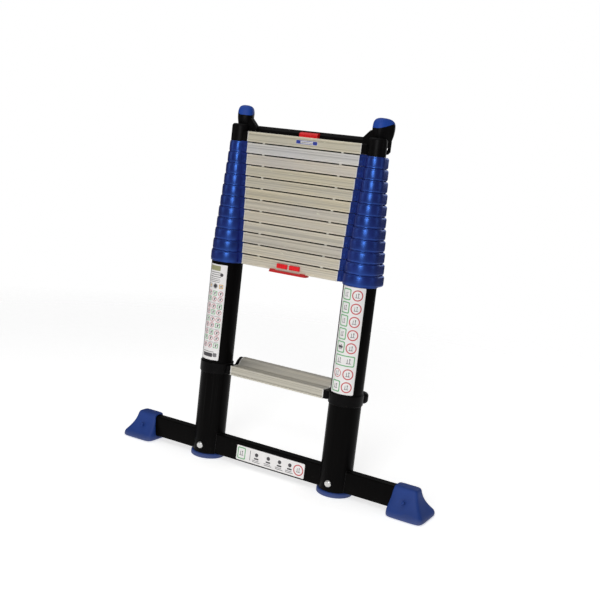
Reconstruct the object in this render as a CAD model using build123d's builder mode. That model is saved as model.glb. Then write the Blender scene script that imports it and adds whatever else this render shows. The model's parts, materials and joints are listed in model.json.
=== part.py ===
from build123d import *
import os
from math import sin, cos, radians, sqrt

os.makedirs("parts", exist_ok=True)

# ---------------------------------------------------------------- dimensions (mm)
RUNG_PITCH = 290.0        # rung spacing of the extended ladder
STACK_PITCH = 27.68       # rung spacing of the closed stack
TRAVEL = RUNG_PITCH - STACK_PITCH
LAST = 13                 # number of rungs; rungs 1 and 2 belong to the base tubes
HALF_W = 189.1            # tube axis to centre plane
R_BASE = 40.1             # outer radius of the base tubes
R_STEP = 1.93             # radius lost by each next section
WALL = 1.4                # tube wall
TUBE_LEN = 365.0          # length of every sliding tube
Z_RUNG1 = 229.1           # underside of rung 1's front face
Z_RUNG2 = Z_RUNG1 + RUNG_PITCH
COLLAR_H = 27.6           # collar height
COLLAR_T = 2.8            # collar thickness over its tube
COLLAR_DROP = 1.6         # collar's lower edge under the rung's front face
FIT = 0.3                 # gap between a tube and the collar fixed on it
SLIDE = 0.4               # gap between a collar's guide lip and the sliding tube
END_GAP = 13.64           # tube surface to rung end
LOBE_DIR = 34.0           # knuckle direction, degrees from +Y towards the outside
LOBE_R = 18.3             # knuckle radius on the base collars
LOBE_STEP = 0.75          # knuckle radius lost by each next section
HEAD_DIR = 28.0           # direction of the head lug
HEAD_BACK = 12.0          # head behind the tube axis
HEAD_IN = 2.4             # head inboard of the tube axis
PIN_R = 5.0               # lock pin radius
PIN_BORE = 5.06           # its guide bore
PIN_Z = 11.3              # lock pin axis above the rung's underside
BAR_Y0, BAR_Y1 = -20.4, 5.6     # stabiliser bar section
BAR_Z0, BAR_Z1 = 12.0, 65.6
BAR_HALF = 395.0
BAR_T = 2.2
BOLT_Z = 32.5
BOLT_R = 4.0
BOLT_BORE = 4.35
FOOT_R = 45.0             # round foot under each base tube


def r_tube(i):
    # outer radius of the tube that carries rung i
    return R_BASE - max(i - 2, 0) * R_STEP


def z_rung(i):
    # underside of the front face of rung i, closed
    return Z_RUNG1 if i == 1 else Z_RUNG2 + (i - 2) * STACK_PITCH


def x_end(i):
    return HALF_W - r_tube(i) - END_GAP


def tube_top(i):
    return z_rung(i) - COLLAR_DROP + COLLAR_H - 3.2


# rung section in (y, z), z from the underside of the front face
RUNG_OUT = [(-18.3, 0.9), (-17.4, 0), (14.6, 0), (17.2, 0.8), (25.0, 6.0), (37.0, 13.0),
            (46.5, 13.6), (50.2, 17.2), (50.4, 33.2), (49.2, 36.6), (46.4, 38.9),
            (45.0, 39.0), (44.6, 38.3), (42.6, 38.3), (42.2, 39.1),
            (40.2, 39.1), (39.8, 38.4), (37.8, 38.4), (37.4, 39.0), (34.6, 38.0),
            (30.6, 35.6), (27.2, 33.0), (24.4, 30.2), (18.6, 22.6), (17.0, 21.9),
            (13.0, 21.9), (12.6, 22.6), (9.4, 22.6), (9.0, 21.9), (5.8, 21.9), (5.4, 22.6),
            (2.2, 22.6), (1.8, 21.9), (-1.4, 21.9), (-1.8, 22.6), (-5.0, 22.6), (-5.4, 21.9),
            (-8.6, 21.9), (-9.0, 22.6), (-13.6, 22.6), (-14.6, 24.0), (-17.2, 24.6),
            (-18.3, 23.8), (-18.3, 20.8), (-17.0, 20.2), (-17.0, 19.0), (-17.7, 18.5),
            (-17.7, 6.2), (-17.0, 5.7), (-17.0, 4.6), (-18.3, 4.0)]
RUNG_IN1 = [(-15.6, 1.9), (13.4, 1.9), (13.4, 20.2), (-14.2, 20.2), (-15.4, 19.0)]
RUNG_IN2 = [(15.2, 2.0), (17.0, 2.6), (24.2, 7.5), (36.5, 14.8), (45.8, 15.4), (48.4, 17.9),
            (48.6, 32.7), (47.6, 35.2), (45.6, 36.5), (37.6, 36.5), (31.6, 34.0), (25.8, 29.2),
            (19.8, 21.2), (17.6, 20.1), (15.2, 20.1)]
# top rung: front chamber only, its back is the black grip
TOP_OUT = [(y, z) for y, z in RUNG_OUT if y < 14.0] + []
TOP_OUT = ([(-18.3, 0.9), (-17.4, 0), (16.4, 0), (17.2, 0.8), (17.2, 21.9)] +
           RUNG_OUT[RUNG_OUT.index((13.0, 21.9)):])
# plate that closes a rung end, a little smaller than the rung
PLATE = [(-16.8, 1.0), (14.0, 1.0), (24.6, 7.2), (36.8, 14.2), (45.8, 14.7), (49.0, 17.8),
         (49.0, 32.8), (45.8, 37.4), (37.6, 37.6), (26.0, 30.4), (18.2, 21.3), (-16.8, 21.3)]
PLATE_TOP = [(-16.8, 1.0), (16.6, 1.0), (16.6, 21.3), (-16.8, 21.3)]
GRIP = [(18.4, 14.6), (40.0, 14.6), (47.0, 17.4), (50.2, 22.0), (50.6, 34.0), (48.4, 38.6),
        (44.0, 41.0), (28.0, 41.0), (22.0, 38.4), (18.0, 33.0), (18.0, 24.2), (12.0, 24.2),
        (12.0, 22.8), (17.6, 22.8), (18.4, 22.0)]


def raised(points, z0):
    return [(y, z0 + z) for y, z in points]


# ---------------------------------------------------------------- tubes
def sliding_tubes(i):
    r = r_tube(i)
    zt = tube_top(i) if i < LAST else Z_TOP_TUBE
    zb = tube_top(i) - TUBE_LEN
    zh = z_rung(i - 1) + PIN_Z - TRAVEL
    with BuildPart() as tubes:
        with BuildSketch(Plane.XY.offset(zb)):
            with Locations((HALF_W, 0)):
                Circle(r)
                Circle(r - WALL, mode=Mode.SUBTRACT)
        extrude(amount=zt - zb)
        # lock hole, met by the pin of the rung below when the section is out
        with BuildSketch(Plane.YZ.offset(HALF_W - r - 4)):
            with Locations((0, zh)):
                Circle(PIN_R + 0.4)
        extrude(amount=r, mode=Mode.SUBTRACT)
        mirror(about=Plane.YZ)
    tubes.part.label = "tubes_%02d" % i
    export_step(tubes.part, "parts/tubes_%02d.step" % i)


Z_TOP_TUBE = z_rung(LAST) - COLLAR_DROP + 28.0

for i in range(3, LAST + 1):
    sliding_tubes(i)


def base_tube(side, name):
    cx = side * HALF_W
    z0, z1 = 11.8, tube_top(2)
    zp = z_rung(2) + PIN_Z
    with BuildPart() as tube:
        with BuildSketch(Plane.XY.offset(z0)):
            with Locations((cx, 0)):
                Circle(R_BASE)
                Circle(R_BASE - WALL, mode=Mode.SUBTRACT)
        extrude(amount=z1 - z0)
        # slot for the stabiliser bar, open at the bottom
        with BuildSketch(Plane.YZ.offset(cx - 60)):
            with Locations(((BAR_Y0 + BAR_Y1) / 2, 33.1)):
                Rectangle(BAR_Y1 - BAR_Y0 + 0.8, 66.2)
        extrude(amount=120, mode=Mode.SUBTRACT)
        # bolt holes, front and back
        with BuildSketch(Plane.XZ.offset(-60)):
            with Locations((cx, BOLT_Z)):
                Circle(BOLT_BORE)
        extrude(amount=120, mode=Mode.SUBTRACT)
        # lock pin hole towards the rung
        with BuildSketch(Plane.YZ.offset(cx - side * (R_BASE + 4))):
            with Locations((0, zp)):
                Circle(PIN_BORE)
        extrude(amount=side * 20, mode=Mode.SUBTRACT)
    tube.part.label = name
    export_step(tube.part, "parts/%s.step" % name)


base_tube(-1, "base_tube_left")
base_tube(1, "base_tube_right")


# ---------------------------------------------------------------- collars
def collars(i):
    r = r_tube(i)
    ro = r + COLLAR_T
    z0 = z_rung(i) - COLLAR_DROP
    z1 = z0 + COLLAR_H
    zr = z_rung(i)
    rb = LOBE_R - LOBE_STEP * max(i - 2, 0)
    fl = min(9.0, rb * 0.5) if i == 1 else 5.0
    a = radians(LOBE_DIR)
    lx, ly = HALF_W + (ro - 0.6) * sin(a), (ro - 0.6) * cos(a)
    xe = x_end(i)
    with BuildPart() as collar:
        # ring with softened edges
        with BuildSketch(Plane(origin=(HALF_W, 0, z0), x_dir=(1, 0, 0), z_dir=(0, -1, 0))) as ring_s:
            with BuildLine():
                Polyline((0, 0), (ro, 0), (ro, COLLAR_H), (0, COLLAR_H), close=True)
            make_face()
            fillet(ring_s.vertices().group_by(Axis.X)[-1], 1.5)
        revolve(axis=Axis((HALF_W, 0, 0), (0, 0, 1)))
        # knuckle on the outer rear
        with BuildSketch(Plane(origin=(lx, ly, z0), x_dir=(sin(a), cos(a), 0), z_dir=(cos(a), -sin(a), 0))) as lobe_s:
            with BuildLine():
                Polyline((0, 0), (rb, 0), (rb, COLLAR_H), (0, COLLAR_H), close=True)
            make_face()
            fillet(lobe_s.vertices().group_by(Axis.X)[-1], fl)
        revolve(axis=Axis((lx, ly, 0), (0, 0, 1)))
        # arm to the rung
        with BuildSketch(Plane.YZ.offset(xe + 8)):
            with Locations((0, zr + 11.2)):
                Rectangle(30, 19.6)
        extrude(amount=HALF_W - xe - 8)
        with BuildSketch(Plane.XY.offset(z0 - 1)):
            with Locations((HALF_W, 0)):
                Circle(r + FIT)
        extrude(amount=COLLAR_H + 2, mode=Mode.SUBTRACT)
        # plate that closes the rung end
        with BuildSketch(Plane.YZ.offset(xe)):
            with BuildLine():
                Polyline(*raised(PLATE, zr), close=True)
            make_face()
        extrude(amount=END_GAP - COLLAR_T - 0.6)
        # spigot inside the rung
        with BuildSketch(Plane.YZ.offset(xe - 14)):
            with Locations((-0.8, zr + 10.9)):
                Rectangle(27.2, 17.0)
        extrude(amount=15)
        if i > 1:
            # guide lip over the tube's upper edge
            with BuildSketch(Plane.XY.offset(z1 - 3)):
                with Locations((HALF_W, 0)):
                    Circle(r + 0.9)
                    Circle(r_tube(i + 1) + SLIDE, mode=Mode.SUBTRACT)
            extrude(amount=3)
        if i == 2:
            with BuildSketch(Plane.YZ.offset(xe - 20)):
                with Locations((0, zr + PIN_Z)):
                    Circle(PIN_BORE)
            extrude(amount=40, mode=Mode.SUBTRACT)
        mirror(about=Plane.YZ)
    collar.part.label = "collars_%02d" % i
    export_step(collar.part, "parts/collars_%02d.step" % i)


for i in range(1, LAST):
    collars(i)


# ---------------------------------------------------------------- rungs
BUTTON_X = 17.6           # centre of each release button
BUTTON_W, BUTTON_H = 29.0, 11.0
BUTTON_Z = 12.2           # above the rung's underside


def rung(i):
    zr = z_rung(i)
    xe = x_end(i)
    outer = TOP_OUT if i == LAST else RUNG_OUT
    with BuildPart() as bar:
        with BuildSketch(Plane.YZ.offset(-xe)):
            with BuildLine():
                Polyline(*raised(outer, zr), close=True)
            make_face()
            with BuildLine():
                Polyline(*raised(RUNG_IN1, zr), close=True)
            make_face(mode=Mode.SUBTRACT)
            if i < LAST:
                with BuildLine():
                    Polyline(*raised(RUNG_IN2, zr), close=True)
                make_face(mode=Mode.SUBTRACT)
        extrude(amount=2 * xe)
        if i == 2:
            # windows for the two release buttons
            with BuildSketch(Plane.XZ.offset(12)):
                with Locations((-BUTTON_X, zr + BUTTON_Z), (BUTTON_X, zr + BUTTON_Z)):
                    Rectangle(BUTTON_W + 0.6, BUTTON_H + 0.6)
            extrude(amount=10, mode=Mode.SUBTRACT)
    bar.part.label = "rung_%02d" % i
    export_step(bar.part, "parts/rung_%02d.step" % i)


for i in range(1, LAST + 1):
    rung(i)


# ---------------------------------------------------------------- release on rung 2
Z2 = z_rung(2)


def release_button(side, name):
    cx = side * BUTTON_X
    with BuildPart() as button:
        with BuildSketch(Plane.XZ.offset(13.4)):
            with Locations((cx, Z2 + BUTTON_Z)):
                RectangleRounded(BUTTON_W, BUTTON_H, 1.6)
        extrude(amount=8.2)
        chamfer(button.faces().sort_by(Axis.Y)[0].edges(), 0.8)
        # retaining flange behind the rung's front wall
        with BuildSketch(Plane.XZ.offset(13.2)):
            with Locations((cx, Z2 + BUTTON_Z)):
                Rectangle(BUTTON_W + 4, BUTTON_H + 2.6)
        extrude(amount=2.2)
        # wedge that drives the pin rod
        with BuildSketch(Plane.XZ.offset(10.4)):
            with Locations((cx, Z2 + BUTTON_Z)):
                Rectangle(20, 7)
        extrude(amount=3.2)
        # finger grooves across the face
        with BuildSketch(Plane.XZ.offset(21.0)):
            with Locations((cx - 9, Z2 + BUTTON_Z), (cx - 3, Z2 + BUTTON_Z),
                           (cx + 3, Z2 + BUTTON_Z), (cx + 9, Z2 + BUTTON_Z)):
                Rectangle(1.4, 8)
        extrude(amount=1.0, mode=Mode.SUBTRACT)
    button.part.label = name
    export_step(button.part, "parts/%s.step" % name)


release_button(-1, "release_button_left")
release_button(1, "release_button_right")

with BuildPart() as bezel:
    # red finger bar under the front of rung 2
    with BuildSketch(Plane.XY.offset(Z2 - 5.2)):
        with Locations((0, -13.0)):
            RectangleRounded(104, 24, 6)
    extrude(amount=5.0)
    with BuildSketch(Plane.XZ.offset(18.5)):
        with BuildLine():
            Polyline((-52, Z2 - 5.2), (52, Z2 - 5.2), (49, Z2 + 2.6), (37, Z2 + 2.6), (34, Z2 + 0.4),
                     (-34, Z2 + 0.4), (-37, Z2 + 2.6), (-49, Z2 + 2.6), close=True)
        make_face()
    extrude(amount=4.0)
    # finger hollow in the underside
    with BuildSketch(Plane.XY.offset(Z2 - 5.2)):
        with Locations((0, -11.0)):
            RectangleRounded(88, 14, 5)
    extrude(amount=3.0, mode=Mode.SUBTRACT)
bezel.part.label = "release_bezel"
export_step(bezel.part, "parts/release_bezel.step")


def lock_pin(side, name):
    # tip stands just clear of the wall of tube 3
    tip = HALF_W - r_tube(3) - 0.15
    with BuildPart() as pin:
        with BuildSketch(Plane.YZ.offset(side * (tip - 40))):
            with Locations((0, Z2 + PIN_Z)):
                Circle(PIN_R)
        extrude(amount=side * 40)
        chamfer(pin.faces().sort_by(Axis.X)[-1 if side > 0 else 0].edges(), 0.8)
        with BuildSketch(Plane.YZ.offset(side * 12)):
            with Locations((0, Z2 + PIN_Z)):
                Rectangle(5, 9)
        extrude(amount=side * (tip - 50))
        with BuildSketch(Plane.YZ.offset(side * (tip - 44))):
            with Locations((0, Z2 + PIN_Z)):
                Circle(7.0)
        extrude(amount=side * 4)
    pin.part.label = name
    export_step(pin.part, "parts/%s.step" % name)


lock_pin(-1, "lock_pin_left")
lock_pin(1, "lock_pin_right")


# ---------------------------------------------------------------- feet and stabiliser
def foot_plug(side, name):
    cx = side * HALF_W
    with BuildPart() as plug:
        with BuildSketch():
            with Locations((cx, 0)):
                Circle(FOOT_R)
        extrude(amount=11.5)
        fillet(plug.edges().filter_by(GeomType.CIRCLE).sort_by(Axis.Z)[-1], 3.0)
        chamfer(plug.edges().filter_by(GeomType.CIRCLE).sort_by(Axis.Z)[0], 1.2)
        # half-moon spigot behind the bar
        with BuildSketch(Plane.XY.offset(11.0)):
            with Locations((cx, 0)):
                Circle(R_BASE - WALL - FIT)
            with Locations((cx, -100 + BAR_Y1 + 0.5)):
                Rectangle(100, 200, mode=Mode.SUBTRACT)
        extrude(amount=47)
        with BuildSketch(Plane.XZ.offset(-50)):
            with Locations((cx, BOLT_Z)):
                Circle(BOLT_BORE)
        extrude(amount=100, mode=Mode.SUBTRACT)
        # tread grooves in the sole
        with BuildSketch():
            with Locations((cx, -27), (cx, -13.5), (cx, 0), (cx, 13.5), (cx, 27)):
                Rectangle(62, 4)
        extrude(amount=1.6, mode=Mode.SUBTRACT)
    plug.part.label = name
    export_step(plug.part, "parts/%s.step" % name)


foot_plug(-1, "foot_plug_left")
foot_plug(1, "foot_plug_right")

BAR_YC = (BAR_Y0 + BAR_Y1) / 2
BAR_ZC = (BAR_Z0 + BAR_Z1) / 2
with BuildPart() as bar:
    with BuildSketch(Plane.YZ.offset(-BAR_HALF)):
        with Locations((BAR_YC, BAR_ZC)):
            RectangleRounded(BAR_Y1 - BAR_Y0, BAR_Z1 - BAR_Z0, 3.0)
            RectangleRounded(BAR_Y1 - BAR_Y0 - 2 * BAR_T, BAR_Z1 - BAR_Z0 - 2 * BAR_T, 1.2, mode=Mode.SUBTRACT)
    extrude(amount=2 * BAR_HALF)
    with BuildSketch(Plane.XZ.offset(-50)):
        with Locations((-HALF_W, BOLT_Z), (HALF_W, BOLT_Z)):
            Circle(BOLT_BORE)
    extrude(amount=100, mode=Mode.SUBTRACT)
bar.part.label = "stabiliser_bar"
export_step(bar.part, "parts/stabiliser_bar.step")


def stabiliser_foot(side, name):
    # x inner, x outer, y front, y back of each level
    levels = [(8.0, 343.0, 440.0, -54.0, 54.0), (24.0, 346.0, 428.0, -41.0, 36.0),
              (44.0, 348.0, 417.0, -31.5, 20.0), (72.0, 350.0, 410.0, -26.4, 11.6)]
    with BuildPart() as foot:
        with BuildSketch():
            with Locations((side * 391.5, 0)):
                RectangleRounded(97.0, 108.0, 5.0)
        extrude(amount=8.0)
        for z, xi, xo, yf, yb in levels:
            with BuildSketch(Plane.XY.offset(z)):
                with Locations((side * (xi + xo) / 2, (yf + yb) / 2)):
                    RectangleRounded(xo - xi, yb - yf, 5.0)
        loft()
        fillet(foot.faces().sort_by(Axis.Z)[-1].edges(), 2.5)
        # socket for the bar end
        with BuildSketch(Plane.YZ.offset(side * 330)):
            with Locations((BAR_YC, BAR_ZC)):
                Rectangle(BAR_Y1 - BAR_Y0 + 0.4, BAR_Z1 - BAR_Z0 + 0.4)
        extrude(amount=side * (BAR_HALF + 0.5 - 330), mode=Mode.SUBTRACT)
        # recess for the fixing screw
        with BuildSketch(Plane.XZ.offset(28.5)):
            with Locations((side * 384, 40)):
                Circle(4.2)
        extrude(amount=30, mode=Mode.SUBTRACT)
        # tread grooves in the sole
        with BuildSketch():
            with Locations((side * 358, 0), (side * 375, 0), (side * 392, 0), (side * 409, 0), (side * 425, 0)):
                Rectangle(5, 88)
        extrude(amount=2.0, mode=Mode.SUBTRACT)
    foot.part.label = name
    export_step(foot.part, "parts/%s.step" % name)


stabiliser_foot(-1, "stabiliser_foot_left")
stabiliser_foot(1, "stabiliser_foot_right")

with BuildPart() as bolts:
    # domed heads in front, plain shanks through tube and bar
    with BuildSketch(Plane.XZ.offset(40.25)):
        with Locations((-HALF_W, BOLT_Z), (HALF_W, BOLT_Z)):
            Circle(9.0)
    extrude(amount=5.6)
    fillet(bolts.edges().filter_by(GeomType.CIRCLE).group_by(Axis.Y)[0], 3.8)
    with BuildSketch(Plane.XZ.offset(-49.6)):
        with Locations((-HALF_W, BOLT_Z), (HALF_W, BOLT_Z)):
            Circle(BOLT_R)
    extrude(amount=92.0)
bolts.part.label = "stabiliser_bolts"
export_step(bolts.part, "parts/stabiliser_bolts.step")

with BuildPart() as nuts:
    with BuildSketch(Plane.XZ.offset(-40.3)):
        with Locations((-HALF_W, BOLT_Z), (HALF_W, BOLT_Z)):
            Circle(9.0)
            Circle(BOLT_R + 0.3, mode=Mode.SUBTRACT)
    extrude(amount=-1.6)
    with BuildSketch(Plane.XZ.offset(-41.9)):
        with Locations((-HALF_W, BOLT_Z), (HALF_W, BOLT_Z)):
            RegularPolygon(6.5, 6, major_radius=False)
            Circle(BOLT_R + 0.3, mode=Mode.SUBTRACT)
    extrude(amount=-6.8)
nuts.part.label = "stabiliser_nuts"
export_step(nuts.part, "parts/stabiliser_nuts.step")


# ---------------------------------------------------------------- head
Z13 = z_rung(LAST)
CAP_Z0 = Z13 - COLLAR_DROP
CAP_R = 22.5
R13 = r_tube(LAST)
HOLE_T, HOLE_Z, HOLE_R = 29.6, 842.0, 4.5


def head_plane(side, offset):
    # x along the lug, y up, normal across it
    a = radians(HEAD_DIR)
    n = (cos(a), -side * sin(a), 0)
    return Plane(origin=(side * HALF_W + n[0] * offset, n[1] * offset, 0),
                 x_dir=(side * sin(a), cos(a), 0), z_dir=n)


def pad_plane(side, offset):
    # the head stands a little behind the tube and inboard of it
    p = head_plane(side, offset)
    return Plane(origin=p.origin + Vector(-side * HEAD_IN, HEAD_BACK, 0), x_dir=p.x_dir, z_dir=p.z_dir)


def end_cap(side, name):
    cx = side * HALF_W
    xe = x_end(LAST)
    with BuildPart() as cap:
        with BuildSketch(Plane(origin=(cx, 0, CAP_Z0), x_dir=(1, 0, 0), z_dir=(0, -1, 0))) as body_s:
            with BuildLine():
                Polyline((0, 0), (CAP_R, 0), (CAP_R, 43), (0, 43), close=True)
            make_face()
            fillet(body_s.vertices().group_by(Axis.X)[-1].sort_by(Axis.Y)[-1], 7.0)
            fillet(body_s.vertices().group_by(Axis.X)[-1].sort_by(Axis.Y)[0], 1.2)
        revolve(axis=Axis((cx, 0, 0), (0, 0, 1)))
        # neck and black head under the pad
        with BuildSketch(pad_plane(side, -12.0)):
            with BuildLine():
                Polyline((-10.0, 856), (25, 856), (27.0, 864), (28.0, 870.6), (28.0, 889.6),
                         (22.0, 898.6), (-15.0, 885.8), (-11.0, 874), close=True)
            make_face()
        extrude(amount=24)
        with BuildSketch(pad_plane(side, -14.0)):
            with BuildLine():
                Polyline((-12.5, 881.5), (-9, 878.5), (28.0, 874), (28.0, 889.6),
                         (22.0, 898.6), (-13.0, 886.5), close=True)
            make_face()
        extrude(amount=28)
        # rear fin with a strap hole
        with BuildSketch(head_plane(side, -4.5)):
            with BuildLine():
                Polyline((10, 826.5), (30.5, 829.5), (36.5, 835.5), (36.8, 860), (33.0, 867.0), (10, 867.0), close=True)
            make_face()
        extrude(amount=9)
        # gusset down to the grip
        with BuildSketch(Plane.XZ.offset(-17.0)):
            with BuildLine():
                Polyline((side * (HALF_W - 8), 884), (side * (HALF_W - 24), 881), (side * (HALF_W - 40), 864.5),
                         (side * (HALF_W - 42), 850), (side * (HALF_W - 8), 850), close=True)
            make_face()
        extrude(amount=15)
        # arm and plate for the top rung
        with BuildSketch(Plane.YZ.offset(side * (xe + 8))):
            with Locations((0, Z13 + 11.2)):
                Rectangle(30, 19.6)
        extrude(amount=side * (HALF_W - xe - 8))
        with BuildSketch(Plane.YZ.offset(side * xe)):
            with BuildLine():
                Polyline((-17.2, Z13 + 1.0), (16.8, Z13 + 1.0), (16.8, Z13 + 13.0), (49.0, Z13 + 15.0),
                         (49.0, Z13 + 36.0), (44.0, Z13 + 40.0), (28.0, Z13 + 40.0), (16.8, Z13 + 36.0),
                         (-2.0, Z13 + 27.5), (-17.2, Z13 + 22.4), close=True)
            make_face()
        extrude(amount=side * (END_GAP - 1.0))
        with BuildSketch(Plane.YZ.offset(side * (xe - 14))):
            with Locations((-0.8, Z13 + 10.9)):
                Rectangle(27.2, 17.0)
        extrude(amount=side * 15)
        # socket for the top tube
        with BuildSketch(Plane.XY.offset(CAP_Z0 - 1)):
            with Locations((cx, 0)):
                Circle(R13 + FIT)
        extrude(amount=Z_TOP_TUBE - CAP_Z0 + 1.2, mode=Mode.SUBTRACT)
        with BuildSketch(head_plane(side, -20)):
            with Locations((HOLE_T, HOLE_Z)):
                Circle(HOLE_R)
        extrude(amount=40, mode=Mode.SUBTRACT)
    cap.part.label = name
    export_step(cap.part, "parts/%s.step" % name)


end_cap(-1, "end_cap_left")
end_cap(1, "end_cap_right")


def wall_pad(side, name):
    with BuildPart() as pad:
        with BuildSketch(pad_plane(side, -20.0)) as pad_s:
            with BuildLine():
                Polyline((-16.1, 885.4 + 0.1), (-19.0, 884.4), (-19.2, 912), (36.0, 912), (36.1, 871.6),
                         (31.1, 871.6), (30.2, 889.8), (22.1, 898.9), close=True)
            make_face()
            fillet(pad_s.vertices().sort_by(Axis.Y)[-2:].sort_by(Axis.X)[0], 8.0)
            fillet(pad_s.vertices().sort_by(Axis.Y)[-1], 20.0)
        extrude(amount=40)
        fillet(pad.faces().sort_by(Axis.Z)[-1].edges().filter_by(GeomType.LINE), 2.0)
    pad.part.label = name
    export_step(pad.part, "parts/%s.step" % name)


wall_pad(-1, "wall_pad_left")
wall_pad(1, "wall_pad_right")

LATCH_HALF = 25.0
GRIP_HALF = x_end(LAST) - 0.1
with BuildPart() as grip:
    with BuildSketch(Plane.YZ.offset(-GRIP_HALF)):
        with BuildLine():
            Polyline(*raised(GRIP, Z13), close=True)
        make_face()
        with BuildLine():
            Polyline(*raised([(21.5, 17.6), (39.4, 17.6), (45.2, 20.0), (47.4, 23.2), (47.6, 33.2),
                              (46.2, 36.2), (43.2, 38.0), (29.0, 38.0), (25.4, 36.4), (21.5, 31.6)], Z13), close=True)
        make_face(mode=Mode.SUBTRACT)
    extrude(amount=2 * GRIP_HALF)
    # clear the gussets of the caps
    with BuildSketch(Plane.YZ.offset(-GRIP_HALF)):
        with Locations((8.6, Z13 + 24.0)):
            Rectangle(17.4, 6)
    extrude(amount=16, mode=Mode.SUBTRACT)
    with BuildSketch(Plane.YZ.offset(GRIP_HALF)):
        with Locations((8.6, Z13 + 24.0)):
            Rectangle(17.4, 6)
    extrude(amount=-16, mode=Mode.SUBTRACT)
    # notch for the latch
    with BuildSketch(Plane.XZ.offset(-8)):
        with Locations((0, Z13 + 32.4)):
            Rectangle(2 * LATCH_HALF + 1.0, 19.4)
    extrude(amount=-17, mode=Mode.SUBTRACT)
grip.part.label = "top_grip"
export_step(grip.part, "parts/top_grip.step")

with BuildPart() as latch:
    with BuildSketch(Plane.YZ.offset(-LATCH_HALF)):
        with BuildLine():
            Polyline(*raised([(6.0, 22.9), (6.0, 31.0), (9.0, 35.4), (19.6, 37.4), (19.6, 22.9)], Z13), close=True)
        make_face()
    extrude(amount=2 * LATCH_HALF)
    chamfer(latch.faces().sort_by(Axis.Y)[0].edges(), 0.8)
    with BuildSketch(Plane.XZ.offset(-5)):
        with Locations((-14, Z13 + 28), (-7, Z13 + 28), (0, Z13 + 28), (7, Z13 + 28), (14, Z13 + 28)):
            Rectangle(2.0, 4.6)
    extrude(amount=-2.2, mode=Mode.SUBTRACT)
latch.part.label = "top_latch"
export_step(latch.part, "parts/top_latch.step")
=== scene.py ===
import json
import math

import bmesh
import bpy
from mathutils import Matrix, Vector


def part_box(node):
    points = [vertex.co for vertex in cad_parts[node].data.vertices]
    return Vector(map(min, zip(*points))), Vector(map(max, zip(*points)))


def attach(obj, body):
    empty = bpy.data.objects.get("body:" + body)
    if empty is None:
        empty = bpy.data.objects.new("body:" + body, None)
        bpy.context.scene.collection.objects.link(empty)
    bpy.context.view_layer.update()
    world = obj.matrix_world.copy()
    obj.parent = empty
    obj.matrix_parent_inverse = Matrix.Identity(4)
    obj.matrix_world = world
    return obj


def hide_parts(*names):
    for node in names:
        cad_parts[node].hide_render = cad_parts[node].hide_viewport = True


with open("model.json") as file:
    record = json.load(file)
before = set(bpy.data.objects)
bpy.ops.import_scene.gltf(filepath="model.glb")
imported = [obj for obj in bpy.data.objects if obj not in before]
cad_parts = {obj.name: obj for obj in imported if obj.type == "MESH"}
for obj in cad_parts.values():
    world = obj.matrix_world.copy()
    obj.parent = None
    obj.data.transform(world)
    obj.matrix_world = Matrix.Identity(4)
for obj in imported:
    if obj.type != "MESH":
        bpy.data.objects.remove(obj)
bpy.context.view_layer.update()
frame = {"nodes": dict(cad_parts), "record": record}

NODES = frame["nodes"]
BODY_OF = {
    n: b for b, members in frame["record"]["behaviour"]["bodies"].items() for n in members
}
SCENE = bpy.context.scene
MM = 0.001


# ------------------------------------------------------------------ places read from the frame
def span(node):
    lo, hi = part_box(node)
    return Vector(lo), Vector(hi)


TUBE_R = {
    side: (span("base_tube_" + side)[1].x - span("base_tube_" + side)[0].x) / 2
    for side in ("left", "right")
}
TUBE_X = {
    side: (span("base_tube_" + side)[1].x + span("base_tube_" + side)[0].x) / 2
    for side in ("left", "right")
}
RUNG = {i: span("rung_%02d" % i) for i in range(1, 14)}


def tube_r(i):
    """Outer radius of the tube that carries rung i, from the tube nodes."""
    if i <= 2:
        return TUBE_R["right"]
    lo, hi = span("tubes_%02d" % i)
    return (hi.y - lo.y) / 2




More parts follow.
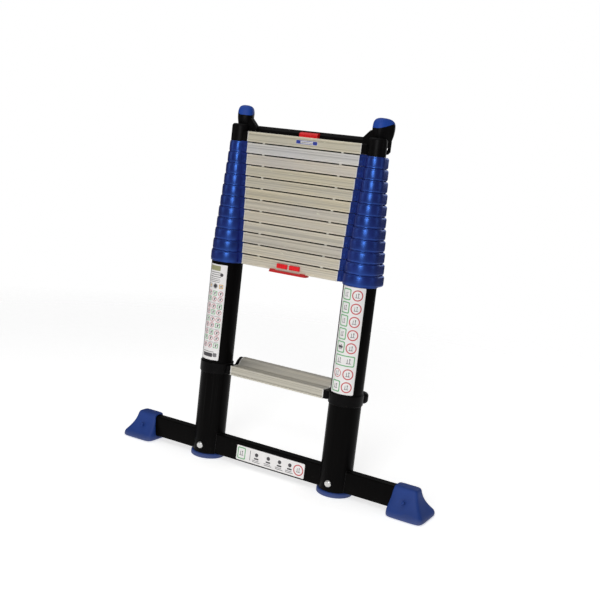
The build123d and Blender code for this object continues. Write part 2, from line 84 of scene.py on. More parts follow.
# ------------------------------------------------------------------ material helpers
class Mat:
    """A Principled material whose colour, roughness and bump come from nodes."""

    def __init__(self, name, metallic=0.0, specular=0.5, coat=0.0, coat_rough=0.2, ior=1.5):
        self.m = bpy.data.materials.new(name)
        self.m.use_nodes = True
        self.nt = self.m.node_tree
        self.nt.nodes.clear()
        self.out = self.node("ShaderNodeOutputMaterial")
        self.bsdf = self.node("ShaderNodeBsdfPrincipled")
        self.nt.links.new(self.bsdf.outputs["BSDF"], self.out.inputs["Surface"])
        self.bsdf.inputs["Metallic"].default_value = metallic
        self.bsdf.inputs["Specular IOR Level"].default_value = specular
        self.bsdf.inputs["IOR"].default_value = ior
        self.bsdf.inputs["Coat Weight"].default_value = coat
        self.bsdf.inputs["Coat Roughness"].default_value = coat_rough
        self.pos = self.node("ShaderNodeTexCoord").outputs["Object"]
        self.height = None

    def node(self, kind):
        return self.nt.nodes.new(kind)

    def put(self, value, socket):
        if isinstance(value, bpy.types.NodeSocket):
            self.nt.links.new(value, socket)
        elif isinstance(value, (tuple, list)) and len(value) == 3 and len(socket.default_value) == 4:
            socket.default_value = (*value, 1.0)
        else:
            socket.default_value = value

    def scaled(self, sx, sy, sz, offset=(0, 0, 0), vector=None):
        n = self.node("ShaderNodeMapping")
        self.put(vector or self.pos, n.inputs["Vector"])
        n.inputs["Scale"].default_value = (sx, sy, sz)
        n.inputs["Location"].default_value = offset
        return n.outputs["Vector"]

    def noise(self, vector, scale=1.0, detail=3.0, rough=0.55, distortion=0.0):
        n = self.node("ShaderNodeTexNoise")
        self.put(vector, n.inputs["Vector"])
        n.inputs["Scale"].default_value = scale
        n.inputs["Detail"].default_value = detail
        n.inputs["Roughness"].default_value = rough
        n.inputs["Distortion"].default_value = distortion
        return n.outputs["Fac"]

    def voronoi(self, vector, scale=1.0, feature="F1", out="Distance"):
        n = self.node("ShaderNodeTexVoronoi")
        n.feature = feature
        self.put(vector, n.inputs["Vector"])
        n.inputs["Scale"].default_value = scale
        return n.outputs[out]

    def ramp(self, fac, stops):
        n = self.node("ShaderNodeValToRGB")
        self.put(fac, n.inputs["Fac"])
        e = n.color_ramp.elements
        while len(e) > len(stops):
            e.remove(e[-1])
        while len(e) < len(stops):
            e.new(1.0)
        for k, (p, c) in enumerate(stops):
            e[k].position = p
            e[k].color = (c, c, c, 1.0) if isinstance(c, (int, float)) else (*c, 1.0)
        return n.outputs["Color"]

    def math(self, op, a, b=0.5, clamp=False):
        n = self.node("ShaderNodeMath")
        n.operation = op
        n.use_clamp = clamp
        self.put(a, n.inputs[0])
        self.put(b, n.inputs[1])
        return n.outputs[0]

    def remap(self, v, lo, hi, to_lo, to_hi):
        n = self.node("ShaderNodeMapRange")
        self.put(v, n.inputs["Value"])
        n.inputs["From Min"].default_value = lo
        n.inputs["From Max"].default_value = hi
        n.inputs["To Min"].default_value = to_lo
        n.inputs["To Max"].default_value = to_hi
        return n.outputs["Result"]

    def mix(self, fac, a, b):
        n = self.node("ShaderNodeMix")
        n.data_type = "RGBA"
        self.put(fac, n.inputs[0])
        self.put(a, n.inputs[6])
        self.put(b, n.inputs[7])
        return n.outputs[2]

    def axis(self, which, vector=None):
        n = self.node("ShaderNodeSeparateXYZ")
        self.put(vector or self.pos, n.inputs[0])
        return n.outputs[which]

    def edges(self, radius, lo=0.02, hi=0.30):
        """1 on edges sharper than the bevel, 0 on flats."""
        b = self.node("ShaderNodeBevel")
        b.samples = 4
        b.inputs["Radius"].default_value = radius
        g = self.node("ShaderNodeNewGeometry")
        d = self.node("ShaderNodeVectorMath")
        d.operation = "DOT_PRODUCT"
        self.nt.links.new(b.outputs["Normal"], d.inputs[0])
        self.nt.links.new(g.outputs["Normal"], d.inputs[1])
        inv = self.math("SUBTRACT", 1.0, d.outputs["Value"])
        return self.remap(inv, lo, hi, 0.0, 1.0)

    def finish(self, colour, rough, bumps=()):
        """bumps: (height socket, strength, distance in metres)"""
        self.put(colour, self.bsdf.inputs["Base Color"])
        self.put(rough, self.bsdf.inputs["Roughness"])
        normal = None
        for height, strength, distance in bumps:
            b = self.node("ShaderNodeBump")
            b.inputs["Strength"].default_value = strength
            b.inputs["Distance"].default_value = distance
            self.put(height, b.inputs["Height"])
            if normal is not None:
                self.nt.links.new(normal, b.inputs["Normal"])
            normal = b.outputs["Normal"]
        if normal is not None:
            self.nt.links.new(normal, self.bsdf.inputs["Normal"])
        return self.m


def shade(c, k):
    return tuple(min(1.0, x * k) for x in c)


# ------------------------------------------------------------------ materials
def make_black_tube():
    a = Mat("black_coated_tube", specular=0.03)
    streak = a.noise(a.scaled(260, 260, 5), 1.0, 4, 0.6)
    cloud = a.noise(a.scaled(9, 9, 9, (3, 1, 7)), 1.0, 3)
    peel = a.noise(a.scaled(1, 1, 1), 1400, 2)
    rub = a.ramp(a.noise(a.scaled(520, 520, 2.2, (9, 4, 2)), 1.0, 2, 0.4), [(0.60, 0.0), (0.72, 1.0)])
    where = a.ramp(a.noise(a.scaled(6, 6, 3, (2, 8, 5)), 1.0, 2), [(0.50, 0.0), (0.70, 1.0)])
    rub = a.math("MULTIPLY", rub, where)
    colour = a.mix(streak, (0.0012, 0.0011, 0.0011), (0.0034, 0.0030, 0.0030))
    colour = a.mix(a.remap(rub, 0, 1, 0, 0.30), colour, (0.025, 0.025, 0.025))
    dust = a.ramp(a.math("ADD", a.axis("Z"), a.remap(cloud, 0, 1, -0.04, 0.04)), [(0.0, 0.10), (0.06, 0.0)])
    colour = a.mix(dust, colour, (0.02, 0.019, 0.017))
    # bevel edges lightened to grey: partly edge wear, partly a painted edge highlight
    worn_and_lit_edges = a.edges(0.0012)
    colour = a.mix(a.remap(worn_and_lit_edges, 0, 1, 0, 0.55), colour, (0.09, 0.09, 0.09))
    rough = a.math("ADD", a.remap(streak, 0, 1, 0.26, 0.40), a.remap(cloud, 0, 1, -0.05, 0.05))
    return a.finish(colour, rough, [(peel, 0.10, 0.00005), (streak, 0.10, 0.00006)])


def make_bare_tube():
    a = Mat("drawn_bare_tube", metallic=1.0)
    line = a.noise(a.scaled(900, 900, 3), 1.0, 4, 0.65)
    broad = a.noise(a.scaled(70, 70, 2, (1, 5, 3)), 1.0, 3)
    stain = a.noise(a.scaled(14, 14, 9, (7, 2, 4)), 1.0, 4, 0.6)
    colour = a.mix(line, (0.56, 0.56, 0.565), (0.80, 0.795, 0.785))
    colour = a.mix(a.ramp(stain, [(0.52, 0.0), (0.72, 0.22)]), colour, (0.42, 0.42, 0.43))
    rough = a.math("ADD", a.remap(line, 0, 1, 0.20, 0.36), a.remap(broad, 0, 1, -0.05, 0.06))
    return a.finish(colour, rough, [(line, 0.22, 0.00004)])


def make_rung(i, tint, end, low):
    a = Mat("rung_alloy_%02d" % i, metallic=0.60, specular=0.4)
    seed = (0.37 * i, 1.7 * i, 0.9 * i)
    die = a.noise(a.scaled(1.3, 520, 520, seed), 1.0, 4, 0.7)
    fine = a.noise(a.scaled(5, 1900, 1900, seed), 1.0, 2, 0.6)
    cloud = a.noise(a.scaled(7, 22, 22, seed), 1.0, 4, 0.55)
    speck = a.noise(a.scaled(1, 1, 1, seed), 900, 2, 0.6)
    colour = a.mix(die, shade(tint, 0.80), shade(tint, 1.16))
    colour = a.mix(a.remap(fine, 0.3, 0.7, 0.0, 0.35), colour, shade(tint, 1.28))
    band = a.noise(a.scaled(0.35, 60, 330, seed), 1.0, 2, 0.5)
    colour = a.mix(a.ramp(band, [(0.42, 0.0), (0.60, 0.62)]), colour, shade(tint, 0.62))
    z = a.math("SUBTRACT", a.axis("Z"), low)
    # painted highlight: lighter strips along the top and bottom lips of the rung front
    lip_highlight = a.math("ADD", a.remap(z, 0.0046, 0.0038, 0.0, 1.0), a.remap(z, 0.0204, 0.0211, 0.0, 1.0))
    front = a.remap(a.axis("Y"), -0.0150, -0.0165, 0.0, 0.55)
    colour = a.mix(a.math("MULTIPLY", lip_highlight, front, True), colour, shade(tint, 1.22))
    cool = (tint[0] * 0.86, tint[1] * 0.90, tint[2] * 1.03)
    colour = a.mix(a.ramp(cloud, [(0.40, 0.0), (0.66, 0.45)]), colour, cool)
    scuff = a.noise(a.scaled(60, 700, 260, seed), 1.0, 3, 0.6, 0.4)
    scuff = a.ramp(scuff, [(0.66, 0.0), (0.74, 0.6)])
    colour = a.mix(scuff, colour, shade(tint, 1.4))
    # painted highlight: a near-white line along each cut end of the rung, where the end chamfer catches the light; the
    # bevel edges are lightened as well, partly edge wear, partly a painted edge highlight
    x = a.math("ABSOLUTE", a.axis("X"), 0.0)
    wobble = a.remap(a.noise(a.scaled(300, 300, 300, seed), 1.0, 2), 0, 1, -0.0006, 0.0006)
    cut = a.remap(a.math("ADD", x, wobble), end - 0.0030, end - 0.0014, 0.0, 1.0)
    edge = a.edges(0.0007, 0.03, 0.35)
    end_highlight_and_edge_wear = a.math("MAXIMUM", a.math("MULTIPLY", cut, 0.85), a.math("MULTIPLY", edge, 0.40))
    colour = a.mix(end_highlight_and_edge_wear, colour, (0.86, 0.85, 0.82))
    rough = a.math("ADD", a.remap(die, 0, 1, 0.34, 0.50), a.remap(speck, 0, 1, -0.05, 0.05))
    return a.finish(colour, rough, [(die, 0.30, 0.00010), (fine, 0.14, 0.00004), (speck, 0.06, 0.00003)])


def make_plastic(name, dark, mid, light, rough=(0.26, 0.40), grain=1500, specular=0.45, coat=0.0, edge_wear_and_highlight=0.35, tint=(1, 1, 1), ior=1.5):
    a = Mat(name, specular=specular, coat=coat, coat_rough=0.18, ior=ior)
    a.bsdf.inputs["Specular Tint"].default_value = (*tint, 1.0)
    flow = a.noise(a.scaled(26, 26, 60), 1.0, 4, 0.6, 0.5)
    cloud = a.noise(a.scaled(8, 8, 8, (5, 2, 1)), 1.0, 3)
    skin = a.voronoi(a.scaled(1, 1, 1), grain)
    fine = a.noise(a.scaled(1, 1, 1), grain * 1.6, 2)
    colour = a.mix(a.remap(flow, 0.3, 0.7, 0, 1), dark, mid)
    colour = a.mix(a.ramp(cloud, [(0.45, 0.0), (0.75, 0.35)]), colour, shade(mid, 1.25))
    scratch = a.noise(a.scaled(700, 700, 24, (4, 4, 1)), 1.0, 3, 0.5, 0.6)
    scratch = a.ramp(scratch, [(0.67, 0.0), (0.73, 0.35)])
    colour = a.mix(scratch, colour, light)
    # bevel edges lightened towards the light colour: partly edge wear, partly a painted edge highlight
    edge = a.edges(0.0008, 0.03, 0.35)
    colour = a.mix(a.math("MULTIPLY", edge, edge_wear_and_highlight), colour, light)
    r = a.math("ADD", a.remap(flow, 0, 1, rough[0], rough[1]), a.remap(fine, 0, 1, -0.04, 0.04))
    r = a.math("ADD", r, a.math("MULTIPLY", scratch, 0.25))
    return a.finish(colour, r, [(skin, 0.16, 0.00005), (fine, 0.10, 0.00003)])


def make_rubber(name, dark, mid, dusty, rough=(0.52, 0.72)):
    a = Mat(name, specular=0.35)
    cloud = a.noise(a.scaled(20, 20, 20, (1, 2, 3)), 1.0, 4, 0.6)
    pore = a.noise(a.scaled(1, 1, 1), 1100, 3, 0.6)
    cell = a.voronoi(a.scaled(1, 1, 1), 620)
    colour = a.mix(cloud, dark, mid)
    low = a.math("ADD", a.axis("Z"), a.remap(cloud, 0, 1, -0.010, 0.010))
    grime = a.ramp(a.math("MULTIPLY", low, 10.0), [(0.0, 0.45), (0.16, 0.0)])
    colour = a.mix(grime, colour, dusty)
    # bevel edges lightened: partly edge wear, partly a painted edge highlight
    edge = a.edges(0.0012, 0.03, 0.35)
    colour = a.mix(a.math("MULTIPLY", edge, 0.35), colour, shade(mid, 2.0))
    rough_s = a.math("ADD", a.remap(cloud, 0, 1, *rough), a.remap(pore, 0, 1, -0.05, 0.05))
    return a.finish(colour, rough_s, [(cell, 0.22, 0.00008), (pore, 0.20, 0.00006)])


def make_zinc():
    a = Mat("zinc_plated_steel", metallic=1.0)
    spangle = a.voronoi(a.scaled(1, 1, 1), 900, out="Color")
    cloud = a.noise(a.scaled(60, 60, 60), 1.0, 4, 0.6)
    turn = a.noise(a.scaled(1400, 60, 1400), 1.0, 3, 0.6)
    g = a.node("ShaderNodeRGBToBW")
    a.nt.links.new(spangle, g.inputs[0])
    colour = a.mix(g.outputs[0], (0.52, 0.52, 0.53), (0.72, 0.72, 0.70))
    colour = a.mix(a.ramp(cloud, [(0.5, 0.0), (0.8, 0.5)]), colour, (0.50, 0.47, 0.36))
    rough = a.math("ADD", a.remap(cloud, 0, 1, 0.20, 0.38), a.remap(turn, 0, 1, -0.04, 0.04))
    return a.finish(colour, rough, [(turn, 0.12, 0.00003)])


def make_film(name, tint, rough=(0.30, 0.46)):
    a = Mat(name, specular=0.45)
    cloud = a.noise(a.scaled(30, 30, 30, (2, 6, 1)), 1.0, 4, 0.6)
    fibre = a.noise(a.scaled(1, 1, 1), 1700, 3, 0.6)
    speck = a.noise(a.scaled(1, 1, 1, (5, 5, 5)), 420, 2, 0.5)
    colour = a.mix(cloud, shade(tint, 0.88), shade(tint, 1.08))
    colour = a.mix(a.ramp(speck, [(0.68, 0.0), (0.76, 0.30)]), colour, shade(tint, 0.55))
    r = a.math("ADD", a.remap(cloud, 0, 1, *rough), a.remap(fibre, 0, 1, -0.05, 0.05))
    return a.finish(colour, r, [(fibre, 0.10, 0.00003)])


BLACK_TUBE = make_black_tube()
BARE_TUBE = make_bare_tube()
BLUE = make_plastic("blue_moulding", (0.008, 0.007, 0.066), (0.012, 0.013, 0.118), (0.02, 0.08, 0.36), rough=(0.27, 0.36), specular=1.0, tint=(0.09, 0.28, 1.0), ior=2.0, edge_wear_and_highlight=0.10)
BLACK_PL = make_plastic("black_moulding", (0.0014, 0.0012, 0.0013), (0.0036, 0.0032, 0.0034), (0.03, 0.03, 0.031), rough=(0.34, 0.48), specular=0.07, edge_wear_and_highlight=0.22)
BLACK_COLLAR = make_plastic("black_collar_moulding", (0.0014, 0.0012, 0.0013), (0.0036, 0.0032, 0.0034), (0.03, 0.03, 0.031), rough=(0.28, 0.40), specular=0.06, edge_wear_and_highlight=0.22)
BLUE_RUBBER = make_rubber("blue_foot_rubber", (0.005, 0.029, 0.165), (0.010, 0.048, 0.260), (0.12, 0.13, 0.17))
BLUE_PAD = make_rubber("blue_pad_rubber", (0.004, 0.044, 0.28), (0.008, 0.065, 0.40), (0.12, 0.13, 0.17))
RED = make_plastic("red_moulding", (0.62, 0.006, 0.010), (0.86, 0.010, 0.018), (1.0, 0.25, 0.20), rough=(0.28, 0.40), grain=1300, specular=0.4, edge_wear_and_highlight=0.25)
RED_DEEP = make_plastic("red_bezel_moulding", (0.42, 0.008, 0.008), (0.62, 0.016, 0.016), (0.95, 0.40, 0.34), rough=(0.25, 0.38), grain=1300, specular=0.5, edge_wear_and_highlight=0.35)
ZINC = make_zinc()
FILM = make_film("label_film", (0.84, 0.82, 0.81))
BUMPER = make_film("bumper_nylon", (0.66, 0.64, 0.58), (0.40, 0.55))
INK = {
    "green": make_film("label_green", (0.12, 0.42, 0.16)),
    "red": make_film("label_red", (0.55, 0.06, 0.07)),
    "dark": make_film("label_dark", (0.05, 0.045, 0.05)),
    "grey": make_film("label_grey", (0.17, 0.165, 0.17)),
    "olive": make_film("label_olive", (0.33, 0.33, 0.18)),
    "amber": make_film("label_amber", (0.62, 0.34, 0.06)),
    "pink": make_film("label_pink", (0.55, 0.20, 0.23)),
    "navy": make_film("label_navy", (0.03, 0.05, 0.30)),
}

# tint of each rung's front, from cool to warm as in the mixed batches of a real stack
TINTS = {
    1: (0.60, 0.575, 0.50), 2: (0.63, 0.575, 0.475), 3: (0.58, 0.54, 0.455), 4: (0.55, 0.515, 0.445),
    5: (0.57, 0.535, 0.455), 6: (0.60, 0.55, 0.455), 7: (0.58, 0.54, 0.46), 8: (0.60, 0.55, 0.435),
    9: (0.58, 0.54, 0.44), 10: (0.59, 0.545, 0.43), 11: (0.60, 0.555, 0.485), 12: (0.62, 0.605, 0.585),
    13: (0.58, 0.545, 0.445),
}
for i in range(1, 14):
    k = 0.95 if i == 1 else 1.34
    TINTS[i] = (TINTS[i][0] * k, TINTS[i][1] * k * 0.985, TINTS[i][2] * k * 0.955)
    o = NODES["rung_%02d" % i]
    o.data.materials.clear()
    o.data.materials.append(make_rung(i, TINTS[i], RUNG[i][1].x, RUNG[i][0].z))

PAINT = {
    "base_tube_": BLACK_TUBE, "tubes_": BARE_TUBE, "stabiliser_bar": BLACK_TUBE,
    "stabiliser_foot_": BLUE_RUBBER, "foot_plug_": BLUE_RUBBER, "wall_pad_": BLUE_PAD,
    "stabiliser_bolts": ZINC, "stabiliser_nuts": ZINC, "lock_pin_": ZINC,
    "release_bezel": RED_DEEP, "release_button_": RED, "top_latch": RED,
    "end_cap_": BLACK_PL, "top_grip": BLACK_PL, "collars_01": BLACK_COLLAR, "collars_": BLUE,
}
for name, o in NODES.items():
    if name.startswith("rung_"):
        continue
    key = max((k for k in PAINT if name.startswith(k)), key=len)
    o.data.materials.clear()
    o.data.materials.append(PAINT[key])


# ------------------------------------------------------------------ geometry helpers
class Shape:
    """Collects closed islands into one mesh."""

    def __init__(self):
        self.v, self.f = [], []

    def add(self, verts, faces):
        k = len(self.v)
        self.v += [tuple(p) for p in verts]
        self.f += [tuple(k + i for i in f) for f in faces]

    def make(self, name, material, body, slot, smooth=35.0):
        me = bpy.data.meshes.new(name)
        me.from_pydata(self.v, [], self.f)
        me.validate()
        bm = bmesh.new()
        bm.from_mesh(me)
        bmesh.ops.recalc_face_normals(bm, faces=bm.faces[:])
        for e in bm.edges:
            if len(e.link_faces) == 2 and e.calc_face_angle(0.0) > math.radians(smooth):
                e.smooth = False
        for f in bm.faces:
            f.smooth = True
        bm.to_mesh(me)
        bm.free()
        me.materials.append(material)
        o = bpy.data.objects.new(name, me)
        SCENE.collection.objects.link(o)
        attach(o, body)
        return o


def on_tube(cx, r):
    """(u, v, h) -> point: u metres round the front of a tube, v height, h above the surface."""
    return lambda u, v, h: (cx + (r + h) * math.sin(u / r), -(r + h) * math.cos(u / r), v)


def on_front(y):
    return lambda u, v, h: (u, y - h, v)


def patch(shape, place, u0, u1, v0, v1, h0, h1, corner=0.0, nu=24, nv=2):
    """A closed slab with rounded corners."""

    def inset(u):
        d = min(u - u0, u1 - u)
        if corner <= 0 or d >= corner:
            return 0.0
        return corner - math.sqrt(max(corner**2 - (corner - d) ** 2, 0.0))

    us = []
    if corner > 0:
        arc = [corner * (1 - math.cos(math.radians(a))) for a in (0, 22.5, 45, 67.5, 90)]
        us = [u0 + a for a in arc] + [u1 - a for a in reversed(arc)]
        inner = [u0 + corner + (u1 - u0 - 2 * corner) * k / nu for k in range(1, nu)]
        us = sorted(us[:5] + inner + us[5:])
    else:
        us = [u0 + (u1 - u0) * k / nu for k in range(nu + 1)]
    n, m = len(us), nv + 1
    verts, faces = [], []
    for h in (h0, h1):
        for u in us:
            c = inset(u)
            lo, hi = v0 + c, v1 - c
            for k in range(m):
                verts.append(place(u, lo + (hi - lo) * k / nv, h))
    idx = lambda s, a, b: s * n * m + a * m + b
    for a in range(n - 1):
        for b in range(nv):
            faces.append((idx(0, a, b), idx(0, a, b + 1), idx(0, a + 1, b + 1), idx(0, a + 1, b)))
            faces.append((idx(1, a, b), idx(1, a + 1, b), idx(1, a + 1, b + 1), idx(1, a, b + 1)))
        faces.append((idx(0, a, 0), idx(0, a + 1, 0), idx(1, a + 1, 0), idx(1, a, 0)))
        faces.append((idx(0, a, nv), idx(1, a, nv), idx(1, a + 1, nv), idx(0, a + 1, nv)))
    for b in range(nv):
        faces.append((idx(0, 0, b), idx(1, 0, b), idx(1, 0, b + 1), idx(0, 0, b + 1)))
        faces.append((idx(0, n - 1, b), idx(0, n - 1, b + 1), idx(1, n - 1, b + 1), idx(1, n - 1, b)))
    shape.add(verts, faces)


def loop_band(shape, place, outer, inner, h0, h1):
    """A closed band between two loops of (u, v) points."""
    n = len(outer)
    verts = [place(u, v, h) for h in (h0, h1) for loop in (outer, inner) for u, v in loop]
    o0, i0, o1, i1 = 0, n, 2 * n, 3 * n
    faces = []
    for k in range(n):
        j = (k + 1) % n
        faces.append((o1 + k, o1 + j, i1 + j, i1 + k))
        faces.append((o0 + j, o0 + k, i0 + k, i0 + j))
        faces.append((o0 + k, o0 + j, o1 + j, o1 + k))
        faces.append((i0 + j, i0 + k, i1 + k, i1 + j))
    shape.add(verts, faces)


def ring(shape, place, u, v, r, w, h0, h1, n=40, squash=1.0):
    pts = lambda q: [(u + q * math.cos(2 * math.pi * k / n), v + squash * q * math.sin(2 * math.pi * k / n)) for k in range(n)]
    loop_band(shape, place, pts(r), pts(r - w), h0, h1)


def frame_box(shape, place, u, v, w, h, t, h0, h1):
    def loop(a, b, c):
        out = []
        for cx, cy, s in ((a - c, b - c, 0), (-a + c, b - c, 90), (-a + c, -b + c, 180), (a - c, -b + c, 270)):
            out += [(u + cx + c * math.cos(math.radians(s + q)), v + cy + c * math.sin(math.radians(s + q))) for q in (0, 30, 60, 90)]
        return out

    def dense(points):
        out = []
        n = len(points)
        for k in range(n):
            p, q = points[k], points[(k + 1) % n]
            steps = 12 if k % 4 == 3 else 1
            out += [(p[0] + (q[0] - p[0]) * s / steps, p[1] + (q[1] - p[1]) * s / steps) for s in range(steps)]
        return out

    loop_band(shape, place, dense(loop(w / 2, h / 2, min(w, h) * 0.14)), dense(loop(w / 2 - t, h / 2 - t, min(w, h) * 0.10)), h0, h1)


def dot(shape, place, u, v, r, h0, h1, n=24, rv=None):
    rv = rv or r
    loop = [(u + r * math.cos(2 * math.pi * k / n), v + rv * math.sin(2 * math.pi * k / n)) for k in range(n)]
    verts = [place(a, b, h0) for a, b in loop] + [place(a, b, h1) for a, b in loop] + [place(u, v, h0), place(u, v, h1)]
    faces = []
    for k in range(n):
        j = (k + 1) % n
        faces += [(k, j, n + j, n + k), (j, k, 2 * n), (n + k, n + j, 2 * n + 1)]
    shape.add(verts, faces)


def bar(shape, place, u, v, w, h, h0, h1):
    patch(shape, place, u - w / 2, u + w / 2, v - h / 2, v + h / 2, h0, h1, corner=min(w, h) * 0.2, nu=max(4, int(w / 0.0018)), nv=1)


def screw_head(shape, centre, normal, r, height, drive="cross", sink=0.0006):
    """A pan head with a driven recess cut in as real relief."""
    n = Vector(normal).normalized()
    a = n.orthogonal().normalized()
    b = n.cross(a)
    c = Vector(centre)
    rings, seg = 12, 48
    verts, faces = [], []
    top = lambda q: height * (1 - 0.42 * q**2 - 0.58 * q**8)

    def cut(q, ang):
        if drive == "cross":
            x, y = abs(q * math.cos(ang)), abs(q * math.sin(ang))
            x, y = max(x, y), min(x, y)
            depth = 0.0
            if x < 0.55 and y < 0.13:
                depth = min(1.0, (0.55 - x) / 0.12) * min(1.0, (0.13 - y) / 0.04)
            return depth * height * 0.55
        k = math.cos(math.pi / 6) / math.cos((ang % (math.pi / 3)) - math.pi / 6)
        return height * 0.6 * min(1.0, max(0.0, (0.5 * k - q) / 0.05))

    verts.append(tuple(c + n * (top(0) - cut(0, 0))))
    for k in range(1, rings + 1):
        q = k / rings
        for s in range(seg):
            ang = 2 * math.pi * s / seg
            p = c + (a * math.cos(ang) + b * math.sin(ang)) * r * q + n * (top(q) - cut(q, ang))
            verts.append(tuple(p))
    base = len(verts)
    for s in range(seg):
        ang = 2 * math.pi * s / seg
        verts.append(tuple(c + (a * math.cos(ang) + b * math.sin(ang)) * r - n * sink))
    verts.append(tuple(c - n * sink))
    for s in range(seg):
        t = (s + 1) % seg
        faces.append((0, 1 + s, 1 + t))
        for k in range(rings - 1):
            p = 1 + k * seg
            faces.append((p + s, p + seg + s, p + seg + t, p + t))
        last = 1 + (rings - 1) * seg
        faces.append((last + s, base + s, base + t, last + t))
        faces.append((base + s, base + seg, base + t))
    shape.add(verts, faces)


def pill(shape, centre, size, n=10, e=0.55):
    """A soft-cornered block."""
    cx, cy, cz = centre
    sx, sy, sz = (s / 2 for s in size)
    sg = lambda w: math.copysign(abs(w) ** e, w)
    verts, faces = [], []
    m = 2 * n
    for k in range(1, n):
        la = -math.pi / 2 + math.pi * k / n
        for s in range(m):
            lo = 2 * math.pi * s / m
            verts.append((cx + sx * sg(math.cos(la)) * sg(math.cos(lo)), cy + sy * sg(math.cos(la)) * sg(math.sin(lo)), cz + sz * sg(math.sin(la))))
    verts += [(cx, cy, cz - sz), (cx, cy, cz + sz)]
    bottom, top = len(verts) - 2, len(verts) - 1
    for s in range(m):
        t = (s + 1) % m
        faces.append((bottom, t, s))
        for k in range(n - 2):
            faces.append((k * m + s, k * m + t, (k + 1) * m + t, (k + 1) * m + s))
        faces.append((top, (n - 2) * m + s, (n - 2) * m + t))
    shape.add(verts, faces)


LABEL_H = (0.00004, 0.00026)
INK_H = (0.00018, 0.00040)


def label(name, place, u0, u1, v0, v1, marks, body, nu=24, nv=6):
    s = Shape()
    patch(s, place, u0, u1, v0, v1, *LABEL_H, corner=0.0025, nu=nu, nv=nv)
    s.make(name, FILM, body, "black_tube")
    inks = {}
    w, h = u1 - u0, v1 - v0
    for kind, ink, x, y, *rest in marks:
        t = inks.setdefault(ink, Shape())
        u, v = u0 + x * w, v1 - y * h
        if kind == "ring":
            ring(t, place, u, v, rest[0], rest[1], *INK_H)
        elif kind == "box":
            frame_box(t, place, u, v, rest[0], rest[1], rest[2], *INK_H)
        elif kind == "dot":
            dot(t, place, u, v, rest[0], *INK_H)
        elif kind == "bar":
            bar(t, place, u, v, rest[0], rest[1], *INK_H)
    for ink, t in inks.items():
        t.make("%s_%s" % (name, ink), INK[ink], body, "black_tube")


# ------------------------------------------------------------------ labels (generic marks only)
def figure(marks, ink, x, y, s, w, h):
    """A generic step mark: a bar, two short posts and a dot."""
    marks += [
        ("bar", ink, x, y + 0.30 * s / h, 0.62 * s, 0.07 * s),
        ("bar", ink, x - 0.18 * s / w, y, 0.07 * s, 0.52 * s),
        ("bar", ink, x + 0.14 * s / w, y + 0.05 * s / h, 0.07 * s, 0.42 * s),
        ("dot", ink, x + 0.14 * s / w, y - 0.26 * s / h, 0.09 * s),
    ]


R = TUBE_R["left"]
z_lo, z_hi = 0.2622, 0.5095
u_lo, u_hi = R * math.radians(-41.0), R * math.radians(35.3)
W, H = u_hi - u_lo, z_hi - z_lo
marks = [("bar", "olive", 0.36, 0.040, 0.034, 0.0125)]
for k in range(3):
    marks.append(("bar", "grey", 0.42, 0.085 + 0.022 * k, 0.034 - 0.006 * (k % 2), 0.0016))
marks.append(("dot", "dark", 0.76, 0.105, 0.0042))
for k in range(3):
    marks.append(("bar", "grey", 0.40, 0.150 + 0.017 * k, 0.030 + 0.004 * (k % 2), 0.0012))
marks += [
    ("box", "grey", 0.18, 0.225, 0.0105, 0.0105, 0.0012), ("dot", "amber", 0.18, 0.225, 0.0026),
    ("dot", "dark", 0.48, 0.225, 0.0052), ("ring", "grey", 0.48, 0.225, 0.0068, 0.0008),
    ("box", "amber", 0.78, 0.225, 0.0105, 0.0105, 0.0018), ("dot", "grey", 0.78, 0.225, 0.0024),
]
row = 0
y = 0.30
while y < 0.86:
    for c in range(3):
        ink = ("pink", "green", "pink")[(c + row) % 3]
        x = 0.19 + 0.305 * c
        if (c + row) % 3 == 1:
            marks.append(("box", ink, x, y, 0.0130, 0.0118, 0.0014))
        else:
            marks.append(("ring", ink, x, y, 0.0066, 0.0015))
        marks.append(("bar", "dark", x, y, 0.0026, 0.0062))
        marks.append(("dot", "grey", x + 0.0030 / W, y - 0.0020 / H, 0.0011))
    y += 0.0148 / H
    row += 1
    if row % 2 == 0:
        marks.append(("bar", "grey", 0.5, y - 0.0045 / H, 0.044, 0.0008))
        y += 0.0042 / H
marks += [("bar", "grey", 0.42, 0.915, 0.034, 0.0016), ("bar", "dark", 0.40, 0.950, 0.030, 0.0100), ("bar", "grey", 0.80, 0.945, 0.010, 0.0100)]
label("label_left", on_tube(TUBE_X["left"], R), u_lo, u_hi, z_lo, z_hi, marks, "base", 28, 10)

R = TUBE_R["right"]
z_lo, z_hi = 0.2575, 0.5165
u_lo, u_hi = R * math.radians(-44.0), R * math.radians(47.5)
W, H = u_hi - u_lo, z_hi - z_lo
marks = []
for k in range(8):
    yy = 0.072 + 0.1225 * k
    if k == 5:
        marks.append(("box", "green", 0.50, yy, 0.052, 0.0262, 0.0024))
        figure(marks, "grey", 0.30, yy, 0.018, W, H)
        figure(marks, "dark", 0.68, yy, 0.018, W, H)
        continue
    if k == 6:
        marks.append(("ring", "red", 0.27, yy, 0.0105, 0.0016))
    else:
        marks.append(("box", "green", 0.27, yy, 0.0235, 0.0275, 0.0024))
    figure(marks, "dark" if k % 2 else "grey", 0.27, yy, 0.0165, W, H)
    marks.append(("ring", "red", 0.71, yy, 0.0132, 0.0026))
    figure(marks, "dark", 0.71, yy, 0.0165, W, H)
    if k == 4:
        marks.append(("bar", "dark", 0.27, yy, 0.013, 0.0055))
label("label_right", on_tube(TUBE_X["right"], R), u_lo, u_hi, z_lo, z_hi, marks, "base", 30, 10)

